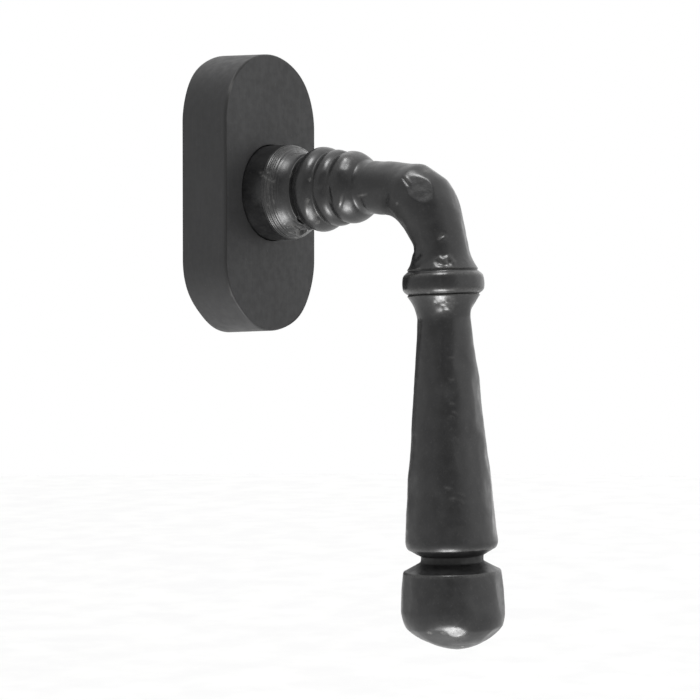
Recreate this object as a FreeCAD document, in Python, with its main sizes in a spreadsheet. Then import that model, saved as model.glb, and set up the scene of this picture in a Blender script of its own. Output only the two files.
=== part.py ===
import FreeCAD, Part
import os
import re
import Sketcher
from FreeCAD import Placement, Rotation, Vector

# Tilt-and-turn window handle: a forged lever that turns in an oblong rose.
# Frame: +Z up, -Y towards the room, +X to the right as seen from the room.
# The origin is on the spindle axis, at the face that the handle is screwed to.
# "Depth" is the distance from that face towards the room, so y = -depth.

DIMENSIONS = {
    # rose cover
    "rose_height": 66.0,
    "rose_width": 34.0,
    "rose_depth": 12.9,
    "rose_draft_angle": 0.5,
    "rose_wall": 2.0,
    "rose_face": 2.4,
    "rose_edge_round": 0.45,
    "rose_hole_radius": 11.4,
    # base plate and its fixings
    "plate_gap": 0.45,
    "plate_thick": 6.0,
    "screw_spacing": 43.0,
    "screw_hole_radius": 2.7,
    "screw_sink": 2.5,
    "peg_radius": 4.9,
    "peg_length": 2.0,
    "peg_chamfer": 0.5,
    "plate_chamfer": 0.3,
    "boss_radius": 10.4,
    "boss_front": 9.1,
    "bush_radius": 8.0,
    # detent pocket behind the base plate
    "backing_thick": 0.8,
    "backing_width": 25.0,
    "backing_height": 32.0,
    "backing_gap": 0.15,
    "pocket_floor": 4.9,
    "cage_radius": 10.9,
    "cage_arm_width": 6.0,
    "cage_arm_height": 15.4,
    "cage_gap": 0.1,
    "cage_bore": 9.3,
    "cage_end_wall": 0.4,
    "hub_clearance": 0.5,
    "fixing_x": 9.6,
    "fixing_z": 12.9,
    "fixing_radius": 1.0,
    "fixing_sink": 0.65,
    "fixing_length": 4.0,
    "fixing_recess": 0.05,
    "recess_long": 1.9,
    "recess_slot": 0.4,
    "recess_deep": 0.5,
    # hub with the square socket
    "hub_radius": 6.5,
    "hub_back": 0.2,
    "hub_front": 26.0,
    "hub_flat": 5.8,
    "hub_chamfer": 0.3,
    "socket_side": 7.1,
    "socket_bottom": 24.6,
    "socket_chamfer": 0.35,
    "clip_back": 1.0,
    "clip_thick": 0.6,
    "clip_groove_radius": 5.5,
    "clip_bore_radius": 5.8,
    "clip_radius": 8.2,
    "clip_mouth": 1.2,
    "plier_radius": 0.45,
    "plier_x": 2.1,
    "running_gap": 0.05,
    # index disc, balls and springs
    "disc_back": 2.1,
    "disc_thick": 2.0,
    "disc_radius": 9.0,
    "ball_radius": 1.25,
    "ball_lift": 0.08,
    "notch_depth": 0.5,
    "notch_radius": 1.35,
    "spring_radius": 0.85,
    "wire_radius": 0.17,
    "spring_turns": 5.5,
    "spring_end_gap": 0.02,
    # washers and bushes
    "cone_inner_radius": 6.8,
    "cone_outer_radius": 8.3,
    "cone_thick": 0.3,
    "washer_radius": 8.8,
    "washer_bore_radius": 6.6,
    "washer_thick": 0.3,
    "rear_flange_thick": 0.5,
    "rear_sleeve_end": 6.6,
    "front_sleeve_start": 6.8,
    "front_flange_radius": 10.0,
    # lever: collar and reeded neck, along the spindle axis; a bow is an arc's rise above its chord
    "collar_radius": 11.1,
    "collar_back": 10.0,
    "collar_corner": 19.4,
    "corner_bow": 0.2,
    "dish_start": 20.7,
    "dish_radius": 10.4,
    "dish_bow": -0.3,
    "bead_start": 23.6,
    "bead_radius": 9.0,
    "bead_bow": 0.35,
    "bead_end": 25.1,
    "bead_end_radius": 8.8,
    "ring_one_start": 25.5,
    "ring_one_start_radius": 8.4,
    "ring_one_bow": 1.1,
    "ring_one_end": 31.2,
    "ring_one_radius": 8.8,
    "ring_two_bow": 0.45,
    "ring_two_end": 35.0,
    "ring_two_radius": 8.05,
    "ring_three_bow": 0.5,
    "ring_three_end": 39.8,
    "ring_three_radius": 7.45,
    "neck_bow": -0.2,
    "neck_start": 43.4,
    "neck_radius": 6.05,
    # lever: elbow
    "elbow_start": 46.0,
    "elbow_radius": 15.0,
    "grip_tilt": 2.3,
    # lever: ring, grip and knob, along the grip axis from the elbow's end
    "grip_top_radius": 6.15,
    "flare_bow": -0.2,
    "flare_end": 3.7,
    "flare_radius": 7.85,
    "ring_start": 4.0,
    "ring_end": 9.1,
    "ring_side_radius": 7.95,
    "ring_bow": 1.1,
    "ring_edge_bow": -0.05,
    "root_start": 9.6,
    "root_bow": -0.55,
    "root_end": 14.6,
    "root_radius": 6.0,
    "grip_bow": 0.2,
    "grip_end": 64.4,
    "grip_end_radius": 10.3,
    "shoulder_end": 65.8,
    "shoulder_radius": 9.8,
    "gorge_start": 67.4,
    "gorge_end": 68.5,
    "gorge_radius": 7.0,
    "knob_start": 70.9,
    "knob_start_radius": 10.8,
    "knob_side_bow": 0.1,
    "knob_waist": 79.0,
    "knob_radius": 11.6,
    "knob_bow": 0.3,
    "knob_corner": 83.2,
    "knob_corner_radius": 10.9,
    "knob_end_bow": 0.7,
    "knob_tip": 88.35,
    "knob_tip_radius": 1.2,
    # grub screw under the dish of the neck
    "grub_depth": 22.9,
    "grub_radius": 2.0,
    "grub_start": 5.3,
    "grub_length": 3.6,
    "key_flat": 1.0,
    "key_deep": 1.8,
    # flat springs that hold the cover
    "leaf_thick": 0.5,
    "leaf_width": 4.2,
    "leaf_low": 11.3,
    "leaf_reach": 13.9,
    "leaf_bow": 0.6,
    "leaf_top": 9.9,
    "rivet_x": 6.0,
    "rivet_radius": 1.0,
    "rivet_head_radius": 1.7,
    "rivet_crown_radius": 1.2,
    "rivet_head": 0.7,
    "rivet_shank": 3.0,
    # a thread's clearance, and how far a tool or a joined piece runs past a face
    "thread_gap": 0.03,
    "overrun": 1.0,
}

# arc angle of each elbow section, its radius, and how far its centre lies outside the bend
ELBOW_SECTIONS = {
    "neck": (0, 6.05, 0.0),
    "heel": (15, 6.25, -0.15),
    "rise": (32, 6.95, 0.1),
    "crown": (48, 7.5, 0.55),
    "fall": (64, 6.95, 0.35),
    "toe": (78, 6.35, 0.05),
}
for place, (angle, radius, shift) in ELBOW_SECTIONS.items():
    DIMENSIONS[f"elbow_{place}_angle"] = angle
    DIMENSIONS[f"elbow_{place}_radius"] = radius
    DIMENSIONS[f"elbow_{place}_shift"] = shift

TINY = 1e-7
EDGE_TOLERANCE = 1e-3
ORIGIN, H_AXIS, V_AXIS = -1, -1, -2

doc = FreeCAD.newDocument("window_handle")
sheet = doc.addObject("Spreadsheet::Sheet", "Dims")
for row, (alias, size) in enumerate(DIMENSIONS.items(), start=1):
    sheet.set(f"A{row}", alias.replace("_", " "))
    sheet.set(f"B{row}", str(size))
    sheet.setAlias(f"B{row}", alias)
doc.recompute()

ALIAS_PATTERN = re.compile(r"\b(" + "|".join(DIMENSIONS) + r")\b")
sub_parts = []


def value(expression):
    """The number that an expression in the sheet's aliases gives now."""
    return float(sheet.evalExpression(str(expression)))


def bind(target, prop, expression):
    """Tie a property to the sheet, so that it follows the driving dimensions."""
    target.setExpression(prop, ALIAS_PATTERN.sub(r"Dims.\1", str(expression)))


def new_body(name):
    body = doc.addObject("PartDesign::Body", name)
    body.Label = name
    sub_parts.append(body)
    return body


def new_sketch(body, plane, shift=("0", "0", "0"), turn_axis=(0, 0, 1), turn="0"):
    """A sketch on one of the body's origin planes, moved and turned within that plane's axes."""
    sketch = body.newObject("Sketcher::SketchObject", f"{body.Name}_sketch")
    support = next(f for f in body.Origin.OriginFeatures if f.Role == plane)
    sketch.AttachmentSupport = [(support, "")]
    sketch.MapMode = "FlatFace"
    sketch.AttachmentOffset = Placement(Vector(), Rotation(Vector(*turn_axis), value(turn)))
    if value(turn):
        bind(sketch, "AttachmentOffset.Rotation.Angle", turn)
    bind(sketch, "AttachmentOffset.Base.x", shift[0])
    bind(sketch, "AttachmentOffset.Base.y", shift[1])
    bind(sketch, "AttachmentOffset.Base.z", shift[2])
    return sketch


def at_depth(body, depth):
    """A sketch parallel to the mounting face: its x is +X, its y is +Z, and it faces the room."""
    return new_sketch(body, "XZ_Plane", ("0", "0", depth))


def pin_coordinate(sketch, geometry, point, kind, expression):
    """Hold one coordinate of a point at a sheet expression."""
    number = value(expression)
    if abs(number) < TINY:
        axis = V_AXIS if kind == "DistanceX" else H_AXIS
        sketch.addConstraint(Sketcher.Constraint("PointOnObject", geometry, point, axis))
        return
    index = sketch.addConstraint(Sketcher.Constraint(kind, ORIGIN, 1, geometry, point, number))
    bind(sketch, f"Constraints[{index}]", expression)


def arc_radius(start, end, sag):
    """The radius, as an expression, of the arc between two points that stands off its chord by sag."""
    chord_squared = f"((({end[0]})-({start[0]}))^2+(({end[1]})-({start[1]}))^2)"
    return f"abs({chord_squared}/(8*({sag}))+({sag})/2)"


def draw_outline(sketch, points):
    """A closed outline. A point is (x, y), or (x, y, sag) where an arc leads to the next point.

    A positive sag bows the arc to the right of the way from its start to its end.
    """
    places = [Vector(value(p[0]), value(p[1]), 0) for p in points]
    count = len(points)
    ends = []
    for i, point in enumerate(points):
        start, end = places[i], places[(i + 1) % count]
        if len(point) == 2:
            ends.append((sketch.addGeometry(Part.LineSegment(start, end), False), 1, 2))
            continue
        chord = end - start
        side = Vector(chord.y, -chord.x, 0).normalize()
        middle = (start + end) * 0.5 + side * value(point[2])
        arc = sketch.addGeometry(Part.Arc(start, middle, end), False)
        forward = (sketch.getPoint(arc, 1) - start).Length < TINY
        ends.append((arc, 1, 2) if forward else (arc, 2, 1))
    for i, (geometry, _, last) in enumerate(ends):
        following, first, _ = ends[(i + 1) % count]
        sketch.addConstraint(Sketcher.Constraint("Coincident", geometry, last, following, first))
    for i, (geometry, first, _) in enumerate(ends):
        pin_coordinate(sketch, geometry, first, "DistanceX", points[i][0])
        pin_coordinate(sketch, geometry, first, "DistanceY", points[i][1])
        if len(points[i]) == 3:
            radius = arc_radius(points[i], points[(i + 1) % count], points[i][2])
            index = sketch.addConstraint(Sketcher.Constraint("Radius", geometry, value(radius)))
            bind(sketch, f"Constraints[{index}]", radius)


def draw_circle(sketch, radius, x="0", y="0"):
    centre = Vector(value(x), value(y), 0)
    circle = sketch.addGeometry(Part.Circle(centre, Vector(0, 0, 1), value(radius)), False)
    index = sketch.addConstraint(Sketcher.Constraint("Radius", circle, value(radius)))
    bind(sketch, f"Constraints[{index}]", radius)
    pin_coordinate(sketch, circle, 3, "DistanceX", x)
    pin_coordinate(sketch, circle, 3, "DistanceY", y)


def draw_ring(sketch, outer, inner):
    draw_circle(sketch, outer)
    draw_circle(sketch, inner)


def draw_oblong(sketch, half_width, half_height):
    """An upright outline with straight sides and half-round ends."""
    straight = f"({half_height})-({half_width})"
    sag = f"({half_width})*(1-sqrt(2)/2)"
    draw_outline(sketch, [
        (half_width, f"-({straight})"),
        (half_width, straight, sag),
        ("0", half_height, sag),
        (f"-({half_width})", straight),
        (f"-({half_width})", f"-({straight})", sag),
        ("0", f"-({half_height})", sag),
    ])


def draw_box(sketch, half_width, low, high):
    draw_outline(sketch, [
        (f"-({half_width})", low),
        (half_width, low),
        (half_width, high),
        (f"-({half_width})", high),
    ])


def draw_double_flat(sketch, radius, flat):
    """A circle with two flats, left and right."""
    rise = f"sqrt(({radius})^2-({flat})^2)"
    sag = f"({radius})-sqrt((({radius})^2+({radius})*({rise}))/2)"
    draw_outline(sketch, [
        (flat, f"-{rise}"),
        (flat, rise, sag),
        ("0", radius, sag),
        (f"-({flat})", rise),
        (f"-({flat})", f"-{rise}", sag),
        ("0", f"-({radius})", sag),
    ])


def draw_hexagon(sketch, half_flats, x, y):
    corner = f"({half_flats})*2/sqrt(3)"
    draw_outline(sketch, [
        (f"({x})+{corner}*{across}", f"({y})+({half_flats})*{along}")
        for across, along in [(1, 0), (0.5, 1), (-0.5, 1), (-1, 0), (-0.5, -1), (0.5, -1)]
    ])


def pad(body, sketch, length, taper="0"):
    """Grow the sketch along its normal. A positive taper narrows it on the way."""
    feature = body.newObject("PartDesign::Pad", f"{body.Name}_pad")
    feature.Profile = sketch
    bind(feature, "Length", length)
    bind(feature, "TaperAngle", f"-({taper})")
    sketch.Visibility = False
    doc.recompute()
    return feature


def cut(body, kind, sketch, settings):
    """Add a cutting feature, and stop if it removes nothing."""
    before = body.Shape.Volume
    feature = body.newObject(kind, f"{body.Name}_cut")
    feature.Profile = sketch
    for prop, setting in settings.items():
        if isinstance(setting, str):
            bind(feature, prop, setting)
        else:
            setattr(feature, prop, setting)
    sketch.Visibility = False
    doc.recompute()
    if body.Shape.Volume >= before - TINY:
        raise RuntimeError(f"{feature.Name} removes nothing from {body.Label}")
    return feature


def pocket(body, sketch, length, taper="0"):
    """Cut from the sketch against its normal, so from its depth back towards the mounting face."""
    return cut(body, "PartDesign::Pocket", sketch, {"Length": length, "TaperAngle": f"-({taper})"})


def spin(body, sketch, axis="H_Axis"):
    feature = body.newObject("PartDesign::Revolution", f"{body.Name}_turning")
    feature.Profile = sketch
    feature.ReferenceAxis = (sketch, [axis])
    feature.Angle = 360
    sketch.Visibility = False
    doc.recompute()
    return feature


def edges_where(shape, test):
    return [f"Edge{i}" for i, edge in enumerate(shape.Edges, start=1) if test(edge)]


def soften(body, kind, size, test):
    """Fillet or chamfer the edges that pass a test."""
    base = body.Tip
    names = edges_where(base.Shape, test)
    if not names:
        raise RuntimeError(f"{body.Label} has no edge to soften")
    feature = body.newObject(f"PartDesign::{kind}", f"{body.Name}_{kind.lower()}")
    feature.Base = (base, names)
    bind(feature, "Radius" if kind == "Fillet" else "Size", size)
    doc.recompute()
    return feature


def lies_at(edge, depth):
    """Whether the whole edge lies at one depth."""
    box = edge.BoundBox
    return max(abs(box.YMin + depth), abs(box.YMax + depth)) < EDGE_TOLERANCE


def has_radius(edge, radius):
    return hasattr(edge.Curve, "Radius") and abs(edge.Curve.Radius - radius) < TINY


def fits_inside(edge, half_side):
    """Whether an edge lies within a square round the spindle axis."""
    box = edge.BoundBox
    reach = max(abs(box.XMin), abs(box.XMax), abs(box.ZMin), abs(box.ZMax))
    return reach < half_side + EDGE_TOLERANCE


def ring_body(name, outer, inner, back, thick):
    body = new_body(name)
    sketch = at_depth(body, back)
    draw_ring(sketch, outer, inner)
    pad(body, sketch, thick)
    return body


def make_rose_cover():
    """Pressed and forged cover, open at the back, with a clearance hole for the lever's collar."""
    body = new_body("rose_cover")
    outside = at_depth(body, "0")
    draw_oblong(outside, "rose_width/2", "rose_height/2")
    pad(body, outside, "rose_depth", "rose_draft_angle")
    front = value("rose_depth")
    soften(body, "Fillet", "rose_edge_round", lambda edge: lies_at(edge, front))
    inside = at_depth(body, "rose_depth-rose_face")
    lean = "(rose_depth-rose_face)*tan(rose_draft_angle)"
    draw_oblong(inside, f"rose_width/2-rose_wall-{lean}", f"rose_height/2-rose_wall-{lean}")
    pocket(body, inside, "rose_depth-rose_face", "-rose_draft_angle")
    hole = at_depth(body, "rose_depth")
    draw_circle(hole, "rose_hole_radius")
    pocket(body, hole, "rose_face+overrun")


def make_base_plate():
    """Die-cast plate with the bearing boss, two screw seats, locating pegs and the detent pocket."""
    body = new_body("base_plate")
    plate = at_depth(body, "0")
    draw_oblong(plate, "rose_width/2-rose_wall-plate_gap", "rose_height/2-rose_wall-plate_gap")
    pad(body, plate, "plate_thick", "rose_draft_angle")
    boss = at_depth(body, "plate_thick-overrun")
    draw_circle(boss, "boss_radius")
    pad(body, boss, "boss_front-plate_thick+overrun")
    for side in ("-1", "1"):
        peg = at_depth(body, "-peg_length")
        draw_circle(peg, "peg_radius", "0", f"{side}*screw_spacing/2")
        pad(body, peg, "peg_length+overrun")
    peg_end, peg_radius = -value("peg_length"), value("peg_radius")
    soften(body, "Chamfer", "peg_chamfer", lambda edge: lies_at(edge, peg_end))
    soften(
        body, "Chamfer", "plate_chamfer", lambda edge: lies_at(edge, 0) and not has_radius(edge, peg_radius)
    )
    for side in ("-1", "1"):
        hole = at_depth(body, "plate_thick")
        draw_circle(hole, "screw_hole_radius", "0", f"{side}*screw_spacing/2")
        pocket(body, hole, "plate_thick+peg_length")
    front, hole_radius = value("plate_thick"), value("screw_hole_radius")
    soften(
        body, "Chamfer", "screw_sink", lambda edge: lies_at(edge, front) and has_radius(edge, hole_radius)
    )
    bush_seat = at_depth(body, "boss_front")
    draw_circle(bush_seat, "bush_radius")
    pocket(body, bush_seat, "boss_front-pocket_floor")
    cage_seat = at_depth(body, "pocket_floor")
    draw_cage(cage_seat, "cage_gap")
    pocket(body, cage_seat, "pocket_floor")
    backing_seat = at_depth(body, "backing_thick")
    draw_box(
        backing_seat,
        "backing_width/2+backing_gap",
        "-(backing_height/2+backing_gap)",
        "backing_height/2+backing_gap",
    )
    pocket(body, backing_seat, "backing_thick")
    for x_side in ("-1", "1"):
        for z_side in ("-1", "1"):
            tapping = at_depth(body, "fixing_length")
            draw_circle(tapping, "fixing_radius", f"{x_side}*fixing_x", f"{z_side}*fixing_z")
            pocket(body, tapping, "fixing_length")
            riveting = at_depth(body, "plate_thick")
            draw_circle(
                riveting,
                "rivet_radius",
                f"{x_side}*rivet_x",
                f"{z_side}*(leaf_low+leaf_width/2)",
            )
            pocket(body, riveting, "rivet_shank")


def draw_cage(sketch, gap):
    """The cage's outline: a disc with an arm above and below, grown by a gap."""
    radius, arm, height = f"(cage_radius+{gap})", f"(cage_arm_width/2+{gap})", f"(cage_arm_height+{gap})"
    shoulder = f"sqrt({radius}^2-{arm}^2)"
    sag = f"({radius}-sqrt(({radius}^2+{radius}*{arm})/2))"
    draw_outline(sketch, [
        (arm, f"-{shoulder}", sag),
        (radius, "0", sag),
        (arm, shoulder),
        (arm, height),
        (f"-{arm}", height),
        (f"-{arm}", shoulder, sag),
        (f"-{radius}", "0", sag),
        (f"-{arm}", f"-{shoulder}"),
        (f"-{arm}", f"-{height}"),
        (arm, f"-{height}"),
    ])


DISC_MIDDLE = "(disc_back+disc_thick/2)"
BALL_BORE = "(ball_radius+cage_gap)"
BALL_HEIGHT = "(disc_radius+ball_lift+ball_radius)"
SPRING_OUTER_END = "(cage_arm_height-cage_end_wall)"


def make_detent_cage():
    """Moulded ring round the index disc, with a blind bore above and below for a spring and a ball."""
    body = new_body("detent_cage")
    outline = at_depth(body, "backing_thick+cage_gap")
    draw_cage(outline, "0")
    draw_circle(outline, "cage_bore")
    pad(body, outline, "pocket_floor-backing_thick-2*cage_gap")
    for plane_side in ("-1", "1"):
        bore = new_sketch(
            body, "XY_Plane", ("0", "0", f"{plane_side}*{SPRING_OUTER_END}")
        )
        draw_circle(bore, BALL_BORE, "0", f"-{DISC_MIDDLE}")
        cut(body, "PartDesign::Pocket", bore, {
            "Length": f"{SPRING_OUTER_END}-cage_bore+overrun",
            "Reversed": plane_side == "-1",
        })


def make_backing_plate():
    body = new_body("backing_plate")
    outline = at_depth(body, "0")
    draw_box(outline, "backing_width/2", "-backing_height/2", "backing_height/2")
    draw_circle(outline, "hub_radius+hub_clearance")
    pad(body, outline, "backing_thick")
    for x_side in ("-1", "1"):
        for z_side in ("-1", "1"):
            hole = at_depth(body, "backing_thick")
            draw_circle(hole, "fixing_radius+cage_gap", f"{x_side}*fixing_x", f"{z_side}*fixing_z")
            pocket(body, hole, "backing_thick")
    hole_radius = value("fixing_radius+cage_gap")
    soften(body, "Chamfer", "fixing_sink", lambda edge: lies_at(edge, 0) and has_radius(edge, hole_radius))


def cross_recess(name, x, z):
    """The two crossed slots of a screwdriver recess, open at the back."""
    slots = []
    for number, (wide, tall) in enumerate((("recess_long", "recess_slot"), ("recess_slot", "recess_long"))):
        slot = doc.addObject("Part::Box", f"{name}_slot_{number}")
        bind(slot, "Length", wide)
        bind(slot, "Width", "recess_deep+overrun")
        bind(slot, "Height", tall)
        bind(slot, "Placement.Base.x", f"{x}-{wide}/2")
        bind(slot, "Placement.Base.y", "-recess_deep")
        bind(slot, "Placement.Base.z", f"{z}-{tall}/2")
        slots.append(slot)
    recess = doc.addObject("Part::Fuse", f"{name}_recess")
    recess.Base, recess.Tool = slots
    return recess


def fastener_group(name, places, solids, crossed=False):
    """Identical fasteners in one node, each of stacked round solids.

    solids lists (back radius, front radius, back depth, front depth).
    """
    members = []
    for number, (x, z) in enumerate(places, start=1):
        steps = []
        for step, (back_radius, front_radius, back, front) in enumerate(solids, start=1):
            kind = "Part::Cylinder" if back_radius == front_radius else "Part::Cone"
            turned = doc.addObject(kind, f"{name}_{number}_step_{step}")
            if kind == "Part::Cylinder":
                bind(turned, "Radius", back_radius)
            else:
                bind(turned, "Radius1", back_radius)
                bind(turned, "Radius2", front_radius)
            bind(turned, "Height", f"({front})-({back})")
            turned.Placement = Placement(Vector(), Rotation(Vector(1, 0, 0), 90))
            bind(turned, "Placement.Base.x", x)
            bind(turned, "Placement.Base.y", f"-({back})")
            bind(turned, "Placement.Base.z", z)
            steps.append(turned)
        member = doc.addObject("Part::Fuse", f"{name}_{number}")
        member.Base, member.Tool = steps
        if crossed:
            whole = member
            member = doc.addObject("Part::Cut", f"{name}_{number}_crossed")
            member.Base, member.Tool = whole, cross_recess(f"{name}_{number}", x, z)
        members.append(member)
    group = doc.addObject("Part::Compound", name)
    group.Label = name
    group.Links = members
    doc.recompute()
    sub_parts.append(group)


def make_backing_screws():
    places = [
        (f"{x_side}*fixing_x", f"{z_side}*fixing_z") for x_side in ("-1", "1") for z_side in ("-1", "1")
    ]
    shank, head = "fixing_radius-thread_gap", "fixing_radius+fixing_sink"
    fastener_group("backing_screws", places, [
        (head, shank, "fixing_recess", "fixing_recess+fixing_sink"),
        (shank, shank, "fixing_sink", "fixing_length-fixing_recess"),
    ], crossed=True)


def make_cover_spring_rivets():
    places = [
        (f"{x_side}*rivet_x", f"{z_side}*(leaf_low+leaf_width/2)")
        for x_side in ("-1", "1")
        for z_side in ("-1", "1")
    ]
    seat = "plate_thick+leaf_thick"
    fastener_group("cover_spring_rivets", places, [
        ("rivet_radius", "rivet_radius", "plate_thick-rivet_shank", f"{seat}+rivet_head/2"),
        ("rivet_head_radius", "rivet_crown_radius", seat, f"{seat}+rivet_head"),
    ])


def make_cover_spring(name, low_end):
    """Flat steel strip across the base plate, with both ends turned up and bowed to grip the cover."""
    body = new_body(name)
    strip = new_sketch(body, "XY_Plane", ("0", "0", low_end))
    back, front, top = "-plate_thick", "-(plate_thick+leaf_thick)", "-leaf_top"
    outer, inner = "leaf_reach", "(leaf_reach-leaf_thick)"
    middle = "-(plate_thick+leaf_top)/2"
    bow, inner_bow = "(leaf_reach+leaf_bow)", "(leaf_reach+leaf_bow-leaf_thick)"
    draw_outline(strip, [
        (f"-{outer}", back),
        (outer, back),
        (bow, middle),
        (f"{outer}-leaf_bow", top),
        (f"{inner}-leaf_bow", top),
        (inner_bow, middle),
        (inner, front),
        (f"-{inner}", front),
        (f"-{inner_bow}", middle),
        (f"-({inner}-leaf_bow)", top),
        (f"-({outer}-leaf_bow)", top),
        (f"-{bow}", middle),
    ])
    pad(body, strip, "leaf_width")
    for side in ("-1", "1"):
        hole = at_depth(body, "plate_thick+leaf_thick")
        draw_circle(hole, "rivet_radius", f"{side}*rivet_x", f"{low_end}+leaf_width/2")
        pocket(body, hole, "leaf_thick")


def flanged_bush(name, sleeve, flange, flange_radius):
    """Nylon bush: a sleeve pressed into the boss, and a flange that takes the end thrust.

    sleeve and flange each give a back depth and a front depth.
    """
    bore = "hub_radius+running_gap"
    body = ring_body(name, "bush_radius", bore, sleeve[0], f"({sleeve[1]})-({sleeve[0]})")
    collar = at_depth(body, flange[0])
    draw_ring(collar, flange_radius, bore)
    pad(body, collar, f"({flange[1]})-({flange[0]})")


def make_spindle_hub():
    """Steel hub that the lever is pressed on: journal, clip groove, drive flats and square socket."""
    body = new_body("spindle_hub")
    rod = at_depth(body, "hub_back")
    draw_circle(rod, "hub_radius")
    pad(body, rod, "hub_front-hub_back")
    soften(body, "Chamfer", "hub_chamfer", lambda edge: lies_at(edge, value("hub_back")))
    for side in ("-1", "1"):
        flat = at_depth(body, "disc_back+disc_thick")
        draw_outline(flat, [
            (f"{side}*hub_flat", "-hub_radius"),
            (f"{side}*(hub_radius+overrun)", "-hub_radius"),
            (f"{side}*(hub_radius+overrun)", "hub_radius"),
            (f"{side}*hub_flat", "hub_radius"),
        ])
        pocket(body, flat, "disc_back+disc_thick")
    groove = at_depth(body, "clip_back+clip_thick")
    draw_ring(groove, "hub_radius+overrun", "clip_groove_radius")
    pocket(body, groove, "clip_thick")
    socket = at_depth(body, "socket_bottom")
    draw_box(socket, "socket_side/2", "-socket_side/2", "socket_side/2")
    pocket(body, socket, "socket_bottom")
    back, half_side = value("hub_back"), value("socket_side/2")
    soften(
        body, "Chamfer", "socket_chamfer", lambda edge: lies_at(edge, back) and fits_inside(edge, half_side)
    )
    grub_hole = new_sketch(body, "XY_Plane", ("0", "0", "-(hub_radius+overrun)"))
    draw_circle(grub_hole, "grub_radius+thread_gap", "0", "-grub_depth")
    cut(body, "PartDesign::Pocket", grub_hole, {"Length": "hub_radius", "Reversed": True})


def make_index_disc():
    """Hardened disc on the hub's flats, with a notch for each quarter turn."""
    body = new_body("index_disc")
    disc = at_depth(body, "disc_back")
    draw_circle(disc, "disc_radius")
    pad(body, disc, "disc_thick")
    bore = at_depth(body, "disc_back+disc_thick")
    draw_double_flat(bore, "hub_radius+running_gap", "hub_flat+running_gap")
    pocket(body, bore, "disc_thick")
    notch = at_depth(body, "disc_back+disc_thick")
    draw_circle(notch, "notch_radius", "0", "disc_radius+ball_radius-notch_depth")
    first_notch = pocket(body, notch, "disc_thick")
    pattern = body.newObject("PartDesign::PolarPattern", "index_disc_notches")
    pattern.Originals = [first_notch]
    pattern.Axis = (notch, ["N_Axis"])
    pattern.Angle = 360
    pattern.Occurrences = 4
    body.Tip = pattern
    doc.recompute()


def make_spring_washer():
    """Conical spring washer that takes up the end play of the hub."""
    body = new_body("spring_washer")
    section = new_sketch(body, "YZ_Plane")
    back, front = "-(clip_back+clip_thick)", "-disc_back"
    draw_outline(section, [
        (back, "cone_inner_radius"),
        (back, "cone_inner_radius+cone_thick"),
        (f"{front}+cone_thick", "cone_outer_radius"),
        (front, "cone_outer_radius"),
        (front, "cone_outer_radius-cone_thick"),
        (f"{back}-cone_thick", "cone_inner_radius"),
    ])
    spin(body, section)


def make_retaining_clip():
    """External circlip with two plier holes, open at the bottom."""
    body = ring_body("retaining_clip", "clip_radius", "clip_bore_radius", "clip_back", "clip_thick")
    gap = at_depth(body, "clip_back+clip_thick")
    draw_box(gap, "clip_mouth", "-(clip_radius+overrun)", "-(clip_bore_radius-overrun)")
    pocket(body, gap, "clip_thick")
    for side in ("-1", "1"):
        hole = at_depth(body, "clip_back+clip_thick")
        draw_circle(hole, "plier_radius", f"{side}*plier_x", "-(clip_radius+clip_bore_radius)/2")
        pocket(body, hole, "clip_thick")


def make_ball(name, side):
    ball = doc.addObject("Part::Sphere", name)
    ball.Label = name
    bind(ball, "Radius", "ball_radius")
    bind(ball, "Placement.Base.y", f"-{DISC_MIDDLE}")
    bind(ball, "Placement.Base.z", f"{side}*{BALL_HEIGHT}")
    sub_parts.append(ball)


def make_spring(name, side):
    """Coil spring between the ball and the closed end of its bore, wound along Z."""
    low = f"({BALL_HEIGHT}+ball_radius+wire_radius)"
    high = f"({SPRING_OUTER_END}-wire_radius-spring_end_gap)"
    length = value(f"{high}-{low}")
    radius, wire = value("spring_radius"), value("wire_radius")
    helix = Part.makeHelix(length / value("spring_turns"), length, radius)
    helix_wire = Part.Wire(helix.Edges)
    section = Part.Wire(Part.makeCircle(wire, Vector(radius, 0, 0), Vector(0, 1, 0)))
    spring = doc.addObject("Part::Feature", name)
    spring.Label = name
    spring.Shape = helix_wire.makePipeShell([section], True, True)
    turn = Rotation() if side == "1" else Rotation(Vector(1, 0, 0), 180)
    base = Vector(0, -value(DISC_MIDDLE), value(f"{side}*{low}"))
    spring.Placement = Placement(base, turn)
    sub_parts.append(spring)


def make_grub_screw():
    """Socket-head grub screw under the neck: it locks the spindle in the hub."""
    body = new_body("grub_screw")
    end = "-(grub_start+grub_length)"
    shank = new_sketch(body, "XY_Plane", ("0", "0", end))
    draw_circle(shank, "grub_radius-thread_gap", "0", "-grub_depth")
    pad(body, shank, "grub_length")
    key = new_sketch(body, "XY_Plane", ("0", "0", end))
    draw_hexagon(key, "key_flat", "0", "-grub_depth")
    cut(body, "PartDesign::Pocket", key, {"Length": "key_deep", "Reversed": True})


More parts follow.
